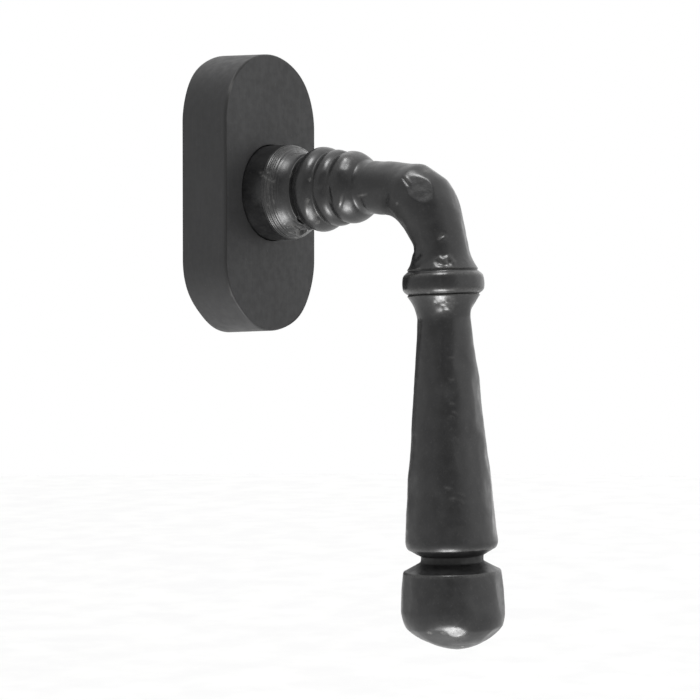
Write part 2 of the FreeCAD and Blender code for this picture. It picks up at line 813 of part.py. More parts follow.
def make_lever():
    """One forging: collar, reeded neck, elbow, ring bead, tapered grip and pointed knob."""
    body = new_body("lever")
    neck = new_sketch(body, "YZ_Plane", turn="180")
    draw_outline(neck, [
        ("collar_back", "0"),
        ("collar_back", "collar_radius"),
        ("collar_corner", "collar_radius", "-corner_bow"),
        ("dish_start", "dish_radius", "-dish_bow"),
        ("bead_start", "bead_radius", "-bead_bow"),
        ("bead_end", "bead_end_radius"),
        ("ring_one_start", "ring_one_start_radius", "-ring_one_bow"),
        ("ring_one_end", "ring_one_radius", "-ring_two_bow"),
        ("ring_two_end", "ring_two_radius", "-ring_three_bow"),
        ("ring_three_end", "ring_three_radius", "-neck_bow"),
        ("neck_start", "neck_radius"),
        ("elbow_start", "neck_radius"),
        ("elbow_start", "0"),
    ])
    spin(body, neck)
    stations = [
        (f"elbow_{place}_angle", f"elbow_{place}_radius", f"elbow_{place}_shift")
        for place in ELBOW_SECTIONS
    ]
    stations.append(("90-grip_tilt", "grip_top_radius", "0"))
    sections = []
    for angle, radius, shift in stations:
        section = new_sketch(
            body,
            "XZ_Plane",
            (
                "0",
                f"elbow_radius*(cos({angle})-1)",
                f"elbow_start+elbow_radius*sin({angle})",
            ),
            (1, 0, 0),
            angle,
        )
        draw_circle(section, radius, "0", shift)
        section.Visibility = False
        sections.append(section)
    elbow = body.newObject("PartDesign::AdditiveLoft", "lever_elbow")
    elbow.Profile = sections[0]
    elbow.Sections = sections[1:]
    doc.recompute()
    grip = new_sketch(
        body,
        "YZ_Plane",
        (
            "-(elbow_start+elbow_radius*cos(grip_tilt))",
            "-elbow_radius*(1-sin(grip_tilt))",
            "0",
        ),
        turn="-(90+grip_tilt)",
    )
    draw_outline(grip, [
        ("0", "0"),
        ("0", "grip_top_radius", "-flare_bow"),
        ("flare_end", "flare_radius"),
        ("ring_start", "ring_side_radius", "-ring_bow"),
        ("ring_end", "ring_side_radius", "-ring_edge_bow"),
        ("root_start", "flare_radius", "-root_bow"),
        ("root_end", "root_radius"),
        ("grip_end", "grip_end_radius", "-grip_bow"),
        ("shoulder_end", "shoulder_radius"),
        ("gorge_start", "gorge_radius"),
        ("gorge_end", "gorge_radius"),
        ("knob_start", "knob_start_radius", "-knob_side_bow"),
        ("knob_waist", "knob_radius", "-knob_bow"),
        ("knob_corner", "knob_corner_radius", "-knob_end_bow"),
        ("knob_tip", "knob_tip_radius"),
        ("knob_tip", "0"),
    ])
    spin(body, grip)
    bore = at_depth(body, "hub_front")
    draw_circle(bore, "hub_radius")
    pocket(body, bore, "hub_front")
    grub_hole = new_sketch(body, "XY_Plane", ("0", "0", "-(collar_radius+overrun)"))
    draw_circle(grub_hole, "grub_radius", "0", "-grub_depth")
    cut(body, "PartDesign::Pocket", grub_hole, {"Length": "collar_radius", "Reversed": True})


def check_and_export():
    """Stop on any failed object, then write one file per sub-part."""
    doc.recompute()
    for item in doc.Objects:
        if "Invalid" in item.State or "Error" in item.State:
            raise RuntimeError(f"{item.Name} did not recompute: {item.State}")
    for sub_part in sub_parts:
        if sub_part.Shape.isNull() or not sub_part.Shape.isValid() or not sub_part.Shape.Solids:
            raise RuntimeError(f"{sub_part.Label} has no valid solid")
    os.makedirs("parts", exist_ok=True)
    for sub_part in sub_parts:
        sub_part.Shape.exportStep(f"parts/{sub_part.Label}.step")
        box = sub_part.Shape.optimalBoundingBox()
        print(
            f"{sub_part.Label}: {len(sub_part.Shape.Solids)} solid(s), {sub_part.Shape.Volume:.1f} mm3,"
            f" x {box.XMin:.2f} to {box.XMax:.2f}, y {box.YMin:.2f} to {box.YMax:.2f},"
            f" z {box.ZMin:.2f} to {box.ZMax:.2f}"
        )


make_rose_cover()
make_base_plate()
make_backing_plate()
make_backing_screws()
make_detent_cage()
make_ball("detent_ball_upper", "1")
make_ball("detent_ball_lower", "-1")
make_spring("detent_spring_upper", "1")
make_spring("detent_spring_lower", "-1")
flanged_bush(
    "rear_bush",
    ("pocket_floor", "rear_sleeve_end"),
    ("pocket_floor-rear_flange_thick", "pocket_floor"),
    "washer_radius",
)
flanged_bush(
    "front_bush",
    ("front_sleeve_start", "boss_front"),
    ("boss_front", "collar_back"),
    "front_flange_radius",
)
ring_body("thrust_washer", "washer_radius", "washer_bore_radius", "disc_back+disc_thick", "washer_thick")
make_cover_spring("cover_spring_upper", "leaf_low")
make_cover_spring("cover_spring_lower", "-(leaf_low+leaf_width)")
make_cover_spring_rivets()
make_spindle_hub()
make_index_disc()
make_spring_washer()
make_retaining_clip()
make_grub_screw()
make_lever()
check_and_export()
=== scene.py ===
import math

import bpy
import numpy as np
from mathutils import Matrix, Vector, noise


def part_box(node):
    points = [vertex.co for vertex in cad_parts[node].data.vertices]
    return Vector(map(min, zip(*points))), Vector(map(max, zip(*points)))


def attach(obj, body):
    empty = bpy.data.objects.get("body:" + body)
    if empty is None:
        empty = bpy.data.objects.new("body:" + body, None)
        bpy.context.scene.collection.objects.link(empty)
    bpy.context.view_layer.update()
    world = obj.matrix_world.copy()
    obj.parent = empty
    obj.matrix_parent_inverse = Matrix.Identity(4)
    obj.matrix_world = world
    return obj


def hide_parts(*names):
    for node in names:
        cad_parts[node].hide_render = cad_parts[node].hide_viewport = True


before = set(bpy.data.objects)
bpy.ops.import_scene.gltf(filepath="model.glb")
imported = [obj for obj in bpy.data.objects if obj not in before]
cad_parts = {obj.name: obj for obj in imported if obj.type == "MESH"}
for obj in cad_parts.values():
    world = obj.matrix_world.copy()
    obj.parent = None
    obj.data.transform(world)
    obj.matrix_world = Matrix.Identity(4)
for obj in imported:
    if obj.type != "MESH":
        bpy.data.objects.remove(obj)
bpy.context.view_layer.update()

# Tilt-and-turn window handle. The frame is in metres. Sizes here are in millimetres and MM turns them
# into metres. "Depth" is the distance from the mounting face towards the room, so y = -depth.

MM = 0.001


def box_mm(node):
    """The low and high corners of a CAD piece, in millimetres."""
    low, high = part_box(node)
    return np.array(low) / MM, np.array(high) / MM


rose_low, rose_high = box_mm("rose_cover")
lever_low, lever_high = box_mm("lever")
hub_low, hub_high = box_mm("spindle_hub")
grub_low, grub_high = box_mm("grub_screw")

ROSE_HALF_WIDTH = rose_high[0]
ROSE_HALF_HEIGHT = rose_high[2]
ROSE_DEPTH = -rose_low[1]
# thickness of the side wall and of the face
ROSE_WALL = 2.0
ROSE_FACE = 2.4
# how much further in the front edge stands than the back edge, at the long sides and at the round ends
ROSE_LEAN = ROSE_DEPTH * math.tan(math.radians(0.5))
ROSE_END_LEAN = 0.5
# rounding of the front edge, radius and rounding of the hole, and how far the face rises towards it
ROSE_EDGE = 0.45
ROSE_HOLE = 11.25
ROSE_LIP = 0.13
ROSE_CROWN = 0.25
ROSE_AROUND = 360

COLLAR_RADIUS = 11.1
COLLAR_CHAMFER = 0.3
COLLAR_BACK = -lever_high[1]
BORE_RADIUS = hub_high[0]
BORE_DEPTH = -hub_low[1]
GRUB_DEPTH = -(grub_low[1] + grub_high[1]) / 2
GRUB_CLEARANCE = 0.03
GRUB_RADIUS = grub_high[0] + GRUB_CLEARANCE
# the upright hole for the grub screw: height of its middle and its length
GRUB_HOLE_MIDDLE = -8.0
GRUB_HOLE_LENGTH = 5.0

# The neck runs straight out from the wall, the elbow turns it down, and the grip leans out a little.
ELBOW_START = 46.0
ELBOW_RADIUS = 15.0
GRIP_TILT = math.radians(2.3)
ELBOW_SWEEP = math.pi / 2 - GRIP_TILT
ELBOW_CENTRE = np.array([0.0, -ELBOW_START, -ELBOW_RADIUS])
GRIP_START = ELBOW_START + ELBOW_RADIUS * ELBOW_SWEEP
GRIP_OUTWARD = np.array([0.0, -math.cos(GRIP_TILT), math.sin(GRIP_TILT)])
GRIP_AXIS = np.array([0.0, -math.sin(GRIP_TILT), -math.cos(GRIP_TILT)])
GRIP_ORIGIN = ELBOW_CENTRE + GRIP_OUTWARD * ELBOW_RADIUS
GRIP_LENGTH = (lever_low[2] - GRIP_ORIGIN[2]) / GRIP_AXIS[2]
ACROSS = np.array([1.0, 0.0, 0.0])
UP = np.array([0.0, 0.0, 1.0])
# points in each ring of the lever, few enough to stay under the export's limit of triangles
AROUND = 164

# Each outline is a list of (distance along the axis, radius, bow, step): bow is how far the stretch
# to the next point bulges outwards, and step is the spacing of the rings on it.
NECK_OUTLINE = [
    (BORE_DEPTH, 0.0, 0, 7.0),
    (BORE_DEPTH, BORE_RADIUS, 0, 2.0),
    (COLLAR_BACK, BORE_RADIUS, 0, 1.2),
    (COLLAR_BACK, COLLAR_RADIUS - COLLAR_CHAMFER, 0.09, 0.15),
    (COLLAR_BACK + COLLAR_CHAMFER, COLLAR_RADIUS, 0, 0.45),
    (18.5, COLLAR_RADIUS, 0.1, 0.06),
    (19.9, COLLAR_RADIUS - COLLAR_CHAMFER, 0.06, 0.06),
    (20.9, 10.25, -0.12, 0.08),
    (23.4, 8.85, -0.05, 0.12),
    (24.7, 8.55, 0.03, 0.12),
    (25.1, 7.6, -0.12, 0.12),
    (25.75, 8.2, 0.1, 0.12),
    (26.1, 8.9, 1.0, 0.28),
    (30.9, 8.75, -0.12, 0.18),
    (31.5, 8.5, 0.42, 0.28),
    (34.7, 8.2, -0.1, 0.18),
    (35.3, 8.0, 0.48, 0.28),
    (39.2, 7.6, 0.1, 0.28),
    (40.9, 6.3, -0.2, 0.3),
    (43.2, 6.05, 0, 0.35),
    (ELBOW_START, 6.05, 0, 0.35),
]

# arc angle in degrees, radius, and how far the section's centre stands outside the bend
ELBOW_SECTIONS = [
    (0, 6.05, 0.0),
    (12, 6.15, 0.0),
    (19, 6.5, 0.1),
    (26, 7.15, 0.5),
    (42, 7.35, 0.55),
    (55, 7.0, 0.15),
    (67, 6.45, -0.2),
    (78, 6.2, -0.15),
    (math.degrees(ELBOW_SWEEP), 6.4, 0.0),
]
ELBOW_STEP = 0.38
# how many rings the elbow has for each ELBOW_STEP of its centre line, because its outside is longer
ELBOW_DENSITY = 1.3

GRIP_OUTLINE = [
    (0.0, 6.4, -0.28, 0.25),
    (4.0, 7.95, -0.07, 0.1),
    (4.4, 7.8, 0.05, 0.1),
    (4.7, 8.2, 0.1, 0.16),
    (5.6, 9.0, 0.13, 0.25),
    (8.35, 9.1, 0.1, 0.16),
    (9.25, 8.4, 0.05, 0.1),
    (9.5, 7.95, -0.07, 0.1),
    (9.85, 8.2, -0.12, 0.25),
    (12.3, 6.75, -0.06, 0.35),
    (14.9, 6.15, -0.1, 0.48),
    (27.0, 7.15, 0.02, 0.48),
    (44.5, 8.62, 0.0, 0.48),
    (49.0, 9.25, 0.03, 0.48),
    (64.3, 10.3, 0.08, 0.16),
    (65.6, 10.05, 0.12, 0.14),
    (66.3, 9.3, 0.03, 0.2),
    (67.6, 6.95, -0.12, 0.2),
    (69.0, 7.1, -0.05, 0.25),
    (70.8, 10.45, 0.14, 0.15),
    (71.4, 10.95, 0.06, 0.4),
    (79.0, 11.6, 0.3, 0.35),
    (83.4, 10.75, 0.35, 0.3),
    (86.6, 6.4, 0.25, 0.3),
    (GRIP_LENGTH - 0.15, 1.3, 0.1, 0.3),
    (GRIP_LENGTH, 0.0, 0, 1.0),
]

# The forging isn't quite straight: distance along the neck and how far its centre is raised, and
# distance along the grip and how far its centre stands outwards.
NECK_CROOK = [
    (23.5, 0), (26, 0.18), (28, 0.3), (30.5, 0.55), (33, 0.57), (38, 0.63), (42, 0.5), (44.5, 0.15),
    (46, 0),
]
GRIP_CROOK = [
    (0, 0), (3, 0.3), (24, 0.45), (29, 0.65), (35, 0.45), (64, 0.5), (72, 0.3), (80, 0.15), (85, 0.5),
    (88, 1.0),
]

# turned lines on the collar's front corner and dish: depth, how deep they are cut
TOOL_LINES = [
    (18.9, 0.04), (19.4, 0.07), (19.9, 0.11), (20.4, 0.09), (20.9, 0.06), (21.4, 0.035), (22.0, 0.02),
]
TOOL_WIDTH = 0.13

# grooves darkened with painted shade: distance along the lever, width
SHADED_GROOVES = [(25.4, 0.75), (31.4, 0.3), (35.0, 0.3), (137.4, 1.7)]

# Glossier places painted light as painted highlights: spots (distance along the lever, angle from its outer
# side, radius, how bright), and the edges of the bead, grip and knob (distance along the lever, width).
GLOSS_AND_HIGHLIGHT_SPOTS = [
    (38.4, -34, 1.9, 0.8), (55.0, -20, 0.8, 0.9), (71.8, -50, 1.8, 0.8), (80.6, -54, 2.2, 0.9),
    (152.8, -53, 2.0, 0.6),
]
GLOSS_AND_HIGHLIGHT_EDGES = [(74.2, 0.5), (77.7, 0.5), (134.7, 0.35), (140.2, 0.35)]
GLOSS_AND_HIGHLIGHT_EDGE_SHARE = 0.4

# the notch in the dish of the collar, darkened with painted shade: distance along the lever and angle
NOTCH = (24.9, -147)


def trace(outline):
    """Dense (distance, radius) pairs along an outline, with each bowed stretch as an arc."""
    out = []
    for start, end in zip(outline, outline[1:]):
        a, b = np.array(start[:2]), np.array(end[:2])
        chord = np.linalg.norm(b - a)
        t = np.arange(max(1, round(chord / start[3])))[:, None]
        t = t / len(t)
        outward = np.array([-(b - a)[1], (b - a)[0]]) / chord
        out.append(a + (b - a) * t + outward * start[2] * 4 * t * (1 - t))
    out.append(np.array([outline[-1][:2]]))
    return np.concatenate(out)


def elbow_stations():
    """Angle, radius and outward shift down the elbow, smoothed between the listed sections."""
    angles, radii, shifts = (np.array(column, float) for column in zip(*ELBOW_SECTIONS))
    count = int(ELBOW_RADIUS * ELBOW_SWEEP * ELBOW_DENSITY / ELBOW_STEP)
    dense = np.linspace(angles[0], angles[-1], count + 2)[1:-1]
    kernel = np.hanning(count // 12)
    kernel /= kernel.sum()
    half = len(kernel) // 2

    def smooth(values):
        rough = np.pad(np.interp(dense, angles, values), half, "edge")
        return np.convolve(rough, kernel, "same")[half:half + count]

    return np.radians(dense), smooth(radii), smooth(shifts)


def lever_rings():
    """Centre, outward direction, radius and place along the centre line of each ring of the lever."""
    neck = trace(NECK_OUTLINE)
    angles, elbow_radii, shifts = elbow_stations()
    grip = trace(GRIP_OUTLINE)
    elbow_outward = np.column_stack([np.zeros_like(angles), -np.sin(angles), np.cos(angles)])
    crook = np.interp(grip[:, 0], *zip(*GRIP_CROOK))[:, None]
    rise = np.interp(neck[:, 0], *zip(*NECK_CROOK))
    centres = np.concatenate([
        np.column_stack([np.zeros(len(neck)), -neck[:, 0], rise]),
        ELBOW_CENTRE + elbow_outward * (ELBOW_RADIUS + shifts)[:, None],
        GRIP_ORIGIN + GRIP_AXIS * grip[:, :1] + GRIP_OUTWARD * crook,
    ])
    outward = np.concatenate([
        np.tile(UP, (len(neck), 1)), elbow_outward, np.tile(GRIP_OUTWARD, (len(grip), 1))])
    radii = np.concatenate([neck[:, 1], elbow_radii, grip[:, 1]])
    along = np.concatenate([neck[:, 0], ELBOW_START + ELBOW_RADIUS * angles, GRIP_START + grip[:, 0]])
    return centres, outward, radii, along


def unit(vectors):
    return vectors / np.linalg.norm(vectors, axis=-1, keepdims=True)


def smooth_noise(points, size, offset=0.0):
    """Smooth noise between about -1 and 1 whose features are about size millimetres wide."""
    flat = points.reshape(-1, 3) / size + offset
    values = np.array([noise.noise(point) for point in flat.tolist()])
    return values.reshape(points.shape[:-1])


class Skin:
    """A grid of points, ring by ring, that marks are hammered into."""

    def __init__(self, points, along, turns, first):
        self.points = points
        self.along = along
        self.turns = turns
        self.first = first
        self.wear_and_highlight = np.zeros(points.shape[:2])
        self.painted_shade = np.zeros(points.shape[:2])
        down = np.gradient(points, axis=0)
        around = np.roll(points, -1, axis=1) - np.roll(points, 1, axis=1)
        self.normals = unit(np.cross(down, around) + 1e-9)
        self.tangents = unit(around + 1e-9)

    def spot(self, along, degrees):
        """The grid place nearest to a distance along the lever and an angle from its outer side."""
        ring = self.first + int(np.argmin(np.abs(self.along[self.first:] - along)))
        turn = int(round(degrees / 360 * len(self.turns))) % len(self.turns)
        return self.points[ring, turn].copy(), self.normals[ring, turn], self.tangents[ring, turn]

    def flatten(self, along, degrees, reach, depth, tilt=0.0, lean=0.0, soft=0.15):
        """Hammer a facet: what stands over a plane depth under the surface is pressed down to it.

        Tilt turns the plane about the lever's length, and lean about the direction across it, both in
        degrees. Soft rounds the facet's edge. What stands far over the plane, such as a bead beside
        it, is left alone.
        """
        centre, normal, tangent = self.spot(along, degrees)
        length = np.cross(normal, tangent)
        sideways = tangent * math.tan(math.radians(tilt)) + length * math.tan(math.radians(lean))
        normal = unit(normal + sideways)
        offset = self.points - (centre - normal * depth)
        height = offset @ normal
        window = np.clip(1.6 - 1.6 * np.linalg.norm(self.points - centre, axis=-1) / reach, 0, 1)
        window = window * window * (3 - 2 * window)
        window *= np.clip(2 - height / (0.5 + 2 * depth), 0, 1)
        press = 0.5 * (height + np.sqrt(height * height + soft * soft))
        press -= 0.25 * soft * np.exp(-np.abs(height) / soft)
        self.points -= normal * (press * window)[..., None]

    def dent(self, along, degrees, radius, depth, stretch=1.0, turn=0.0):
        """A bowl with a low rim. A negative depth raises a bump."""
        u, v, centre_normal, near = self.local(along, degrees, turn)
        q = np.sqrt((u / (radius * stretch)) ** 2 + (v / radius) ** 2)
        bowl = np.where(q < 1, (1 - q * q) ** 2, 0) - 0.22 * np.exp(-((q - 1.15) / 0.28) ** 2)
        self.points -= centre_normal * (bowl * depth * near)[..., None]

    def stain(self, layer, along, degrees, radius, share):
        """Add a soft round spot to a layer, such as the wear-and-highlight layer or the painted-shade
        layer.
        """
        u, v, _, near = self.local(along, degrees, 0.0)
        np.maximum(layer, share * np.exp(-(u * u + v * v) / radius ** 2) * near, out=layer)

    def gash(self, along, degrees, length, width, depth, turn=0.0, bright=1.0):
        """A short cut with a burr along one side, painted light as worn metal and as a painted highlight. A
        negative depth raises it.
        """
        u, v, centre_normal, near = self.local(along, degrees, turn)
        window = np.clip(1 - (2 * u / length) ** 2, 0, 1) * near
        cut = np.exp(-(v / width) ** 2) - 0.6 * np.exp(-((v - 1.7 * width) / width) ** 2)
        self.points -= centre_normal * (cut * depth * window)[..., None]
        # the burr's side is painted light as wear and as a painted highlight
        np.maximum(self.wear_and_highlight, bright * window * np.exp(-((v - 1.5 * width) / width) ** 2), out=self.wear_and_highlight)

    def local(self, along, degrees, turn):
        """Each point's place along and across the lever from a spot, the spot's normal, and a share.

        The share is 1 on the near side of the lever and falls to 0 on its far side.
        """
        centre, normal, tangent = self.spot(along, degrees)
        length = np.cross(tangent, normal)
        c, s = math.cos(math.radians(turn)), math.sin(math.radians(turn))
        offset = self.points - centre
        a, b = offset @ length, offset @ tangent
        near = np.clip(2 - np.abs(offset @ normal) / 2.5, 0, 1)
        return a * c + b * s, b * c - a * s, normal, near


def mark_wear_shade_and_highlights(skin):
    """Painted shade in grooves, in the crook of the elbow and in the notch, and glossier spots and edges
    painted light as painted highlights.
    """
    # painted shade in the grooves
    for middle, width in SHADED_GROOVES:
        ring = np.exp(-((skin.along - middle) / width) ** 2)
        ring[:skin.first] = 0
        np.maximum(skin.painted_shade, ring[:, None], out=skin.painted_shade)
    # glossier edges and spots, painted light as painted highlights
    for middle, width in GLOSS_AND_HIGHLIGHT_EDGES:
        ring = GLOSS_AND_HIGHLIGHT_EDGE_SHARE * np.exp(-((skin.along - middle) / width) ** 2)
        np.maximum(skin.wear_and_highlight, ring[:, None], out=skin.wear_and_highlight)
    for along, degrees, radius, share in GLOSS_AND_HIGHLIGHT_SPOTS:
        skin.stain(skin.wear_and_highlight, along, degrees, radius, share)
    # painted shade on the inside of the elbow's bend and in the notch
    bend = np.clip((skin.along - 43) / 5, 0, 1) * np.clip((70 - skin.along) / 4, 0, 1)
    inside = np.clip((-np.cos(skin.turns) - 0.1) / 0.5, 0, 1)
    np.maximum(skin.painted_shade, bend[:, None] * inside[None, :], out=skin.painted_shade)
    skin.stain(skin.painted_shade, *NOTCH, 1.4, 1.0)


def strike_collar(skin):
    """Turned lines round the front corner and dish of the collar, deeper where the tool chattered, their
    lips painted light there as wear and as painted highlights.
    """
    turns = skin.turns
    swell = 0.6 + 0.6 * np.cos(turns + math.radians(60)) ** 2 * (1 + 0.3 * np.sin(7 * turns))
    for depth, cut in TOOL_LINES:
        wander = 0.05 * np.sin(turns * 2 + depth * 9) + 0.03 * np.sin(turns * 5 + depth * 4)
        beside = (skin.along[:, None] - depth - wander) / TOOL_WIDTH
        groove = np.exp(-beside ** 2) * cut * swell
        groove[:skin.first] = 0
        skin.points -= skin.normals * groove[..., None]
        # lips painted light as wear and as painted highlights, most where the lines are deepest
        lip_wear_and_glint = np.exp(-(beside - 1.2) ** 2) * np.clip(cut * 12 * (swell - 0.55), 0, 1)
        lip_wear_and_glint[:skin.first] = 0
        np.maximum(skin.wear_and_highlight, lip_wear_and_glint, out=skin.wear_and_highlight)


def strike_at_random(skin, seed, count, low, high, reach, depth):
    """Shallow facets spread over part of the lever."""
    draw = np.random.default_rng(seed)
    for _ in range(count):
        along, degrees = draw.uniform(low, high), draw.uniform(0, 360)
        size, cut = draw.uniform(*reach), draw.uniform(*depth)
        tilt, lean = draw.uniform(-4, 4, 2)
        skin.flatten(along, degrees, size, cut, tilt, lean, 0.3)


def pit_at_random(skin, seed, count, low, high, radius, depth):
    """Small bowls and grains left by scale under the hammer."""
    draw = np.random.default_rng(seed)
    for _ in range(count):
        along, degrees = draw.uniform(low, high), draw.uniform(0, 360)
        size, cut = draw.uniform(*radius), draw.uniform(*depth)
        skin.dent(along, degrees, size, cut, draw.uniform(1.0, 2.2), draw.uniform(0, 180))


def hammer_neck(skin):
    """Nicks on the collar, the notch, a bump and cuts on the rings, and small marks all over."""
    for along, degrees, width in [
        (18.2, -66, 0.225), (18.9, -70, 0.2), (19.6, -72, 0.225), (20.3, -75, 0.25), (21.0, -77, 0.25),
        (20.0, -66, 0.175),
    ]:
        skin.gash(along, degrees, 1.6, width, 0.16, 10 * along)
    for along, degrees in [
        (21.6, -8), (22.5, -22), (21.2, 12), (21.9, -150), (22.8, -162), (21.3, -168), (22.2, 174),
    ]:
        skin.gash(along, degrees, 3.2, 0.25, 0.14, 5 * degrees)
    skin.dent(*NOTCH, 0.8, 0.7, 1.8, 90)
    skin.dent(38.2, -33, 2.6, -0.18, 1.3, 40)
    skin.gash(30.0, -120, 4.5, 0.3, 0.05, 70)
    skin.gash(38.6, -118, 4.0, 0.24, 0.08, 60)
    skin.gash(43.5, -112, 3.5, 0.25, 0.08, 12)
    pit_at_random(skin, 11, 12, 20.5, 24.5, (0.35, 0.8), (0.02, 0.06))
    pit_at_random(skin, 12, 14, 26.5, 45.0, (0.8, 1.6), (-0.03, 0.03))
    strike_at_random(skin, 14, 8, 26.5, 37.0, (2.5, 4.0), (0.02, 0.06))


def hammer_elbow(skin):
    """Facets across the bend, a cut, a crease, and a cluster of marks where it flares into the bead."""
    skin.flatten(54.7, 14, 7.0, 0.2)
    skin.flatten(61.0, 16, 6.0, 0.12)
    skin.flatten(66.5, 20, 6.0, 0.1)
    skin.flatten(60.0, -150, 7.0, 0.1, soft=0.3)
    skin.flatten(60.0, 140, 7.0, 0.15, soft=0.3)
    skin.flatten(56.1, -46, 10.5, 0.37, -10, -6, 0.07)
    skin.gash(54.2, -62, 3.0, 0.26, 0.22, -18)
    skin.gash(66.9, -48, 2.6, 0.4, -0.32, 120)
    strike_at_random(skin, 21, 10, 48.0, 68.0, (3.5, 6.0), (0.03, 0.07))
    for along, degrees, radius, depth, turn in [
        (71.9, -60, 1.0, 0.14, 70), (72.0, -47, 1.0, 0.16, 130), (71.1, -55, 0.9, -0.2, 30),
        (70.7, -45, 0.9, -0.2, 110), (71.6, -38, 0.8, -0.16, 20), (72.2, -53, 0.6, 0.12, 0),
    ]:
        skin.dent(along, degrees, radius, depth, 1.5, turn)
    pit_at_random(skin, 22, 16, 69.0, 72.0, (0.5, 0.9), (-0.06, 0.1))
    pit_at_random(skin, 23, 24, 47.0, 68.0, (1.0, 2.0), (-0.02, 0.02))


def hammer_grip(skin):
    """Marks under the ring bead, shallow facets down the grip, a scatter of scale marks, and nicks."""
    for along, degrees, radius, depth in [
        (80.6, -68, 0.7, 0.06), (81.3, -58, 0.6, 0.06), (80.3, -48, 0.6, -0.05), (82.2, -52, 0.7, 0.1),
        (82.9, -45, 0.6, 0.1), (83.4, -56, 0.5, 0.08), (80.9, -38, 0.8, 0.06),
    ]:
        skin.dent(along, degrees, radius, depth, 1.4, 2 * degrees)
    skin.flatten(88.0, 38, 9.0, 0.22, 0, 1.5, 0.25)
    skin.flatten(99.0, 20, 8.0, 0.1, soft=0.25)
    skin.flatten(109.0, 44, 9.0, 0.16, soft=0.25)
    skin.flatten(121.0, 30, 9.0, 0.18, 0, -1, 0.25)
    strike_at_random(skin, 31, 34, 88.0, 130.0, (5.0, 9.0), (0.04, 0.1))
    pit_at_random(skin, 32, 80, 82.0, 132.0, (0.6, 1.6), (-0.04, 0.07))
    for along, degrees, turn in [
        (93.0, -47, 85), (97.7, -48, 100), (103.0, -49, 80), (104.8, -46, 60), (105.8, -50, 110),
        (122.9, -42, 60), (123.6, -52, 95), (124.4, -45, 40), (121.5, -60, 80), (110.6, -46, 20),
    ]:
        skin.gash(along, degrees, 1.9, 0.27, 0.08, turn, 0.4)


def hammer_knob(skin):
    """Facets round the knob and its blunt point, a dent, and an uneven lip round the groove."""
    skin.flatten(146.0, 16, 8.0, 0.3, 0, 2)
    skin.flatten(144.0, 62, 7.0, 0.2)
    skin.flatten(145.0, -118, 7.5, 0.2)
    skin.flatten(146.0, 160, 8.0, 0.25)
    skin.flatten(154.0, -78, 6.0, 0.3)
    skin.flatten(152.8, -54, 7.0, 0.18, 0, 8, 0.2)
    skin.flatten(153.8, 8, 6.0, 0.3)
    skin.flatten(153.8, 90, 6.0, 0.25)
    skin.flatten(154.0, 170, 6.0, 0.3)
    skin.dent(151.2, -34, 1.2, 0.1, 1.5, 60)
    strike_at_random(skin, 41, 14, 141.0, 155.0, (4.0, 6.5), (0.04, 0.1))
    pit_at_random(skin, 42, 26, 135.5, 155.0, (0.5, 1.3), (-0.05, 0.08))
    pit_at_random(skin, 43, 16, 136.0, 138.0, (0.5, 1.0), (-0.14, 0.1))


def hammer(skin):
    """Every mark on the lever, from large facets to small nicks."""
    strike_collar(skin)
    hammer_neck(skin)
    hammer_elbow(skin)
    hammer_grip(skin)
    hammer_knob(skin)
    mark_wear_shade_and_highlights(skin)


def lever_surface():
    """The smooth lever as a grid of points, and the first ring outside its bore."""
    centres, outward, radii, along = lever_rings()
    turns = np.arange(AROUND) * 2 * math.pi / AROUND
    first = int(np.argmax(radii > COLLAR_RADIUS - COLLAR_CHAMFER - 0.01))
    spokes = ACROSS * np.sin(turns)[None, :, None] + outward[:, None, :] * np.cos(turns)[None, :, None]
    ring = centres[:, None, :] + spokes * radii[:, None, None]
    return ring, along, turns, first


def make_uneven(skin):
    """The slow wobble of hand work. It fades out towards the collar, which was turned."""
    share = np.interp(skin.along, [18, 24, 40, 50], [0.08, 0.35, 0.7, 1.0])
    share[:skin.first] = 0
    shift = 0.15 * smooth_noise(skin.points, 11.0) + 0.07 * smooth_noise(skin.points, 4.5, 40.0)
    shift += 0.025 * smooth_noise(skin.points, 1.6, 80.0)
    skin.points += skin.normals * (shift * share[:, None])[..., None]


def grid_faces(rings, around, start):
    """Quads between neighbouring rings, as an array of corner numbers."""
    i = np.arange(rings - 1)[:, None] * around + start
    k = np.arange(around)[None, :]
    n = (k + 1) % around
    return np.stack([i + k, i + around + k, i + around + n, i + n], axis=-1).reshape(-1, 4)


def new_mesh(name, points, faces, smooth=True):
    """An object in the scene from points in millimetres and faces as corner numbers."""
    mesh = bpy.data.meshes.new(name)
    mesh.from_pydata((np.asarray(points) * MM).tolist(), [], [tuple(face) for face in faces])
    mesh.update()
    mesh.polygons.foreach_set("use_smooth", [smooth] * len(mesh.polygons))
    piece = bpy.data.objects.new(name, mesh)
    bpy.context.scene.collection.objects.link(piece)
    return piece


def drill(piece, centre, radius, length):
    """Cut a round hole, upright through centre, out of a piece."""
    sides = 48
    a = np.arange(sides) * 2 * math.pi / sides
    rim = np.column_stack([radius * np.cos(a), radius * np.sin(a), np.zeros(sides)]) + centre
    points = np.concatenate([rim - UP * length / 2, rim + UP * length / 2])
    faces = [(k, (k + 1) % sides, sides + (k + 1) % sides, sides + k) for k in range(sides)]
    faces += [range(sides - 1, -1, -1), range(sides, 2 * sides)]
    drill_bit = new_mesh("drill_bit", points, faces)
    cut = piece.modifiers.new("hole", "BOOLEAN")
    cut.object = drill_bit
    cut.operation = "DIFFERENCE"
    cut.solver = "EXACT"
    shape = bpy.data.meshes.new_from_object(piece.evaluated_get(bpy.context.evaluated_depsgraph_get()))
    piece.modifiers.clear()
    piece.data = shape
    bpy.data.objects.remove(drill_bit)


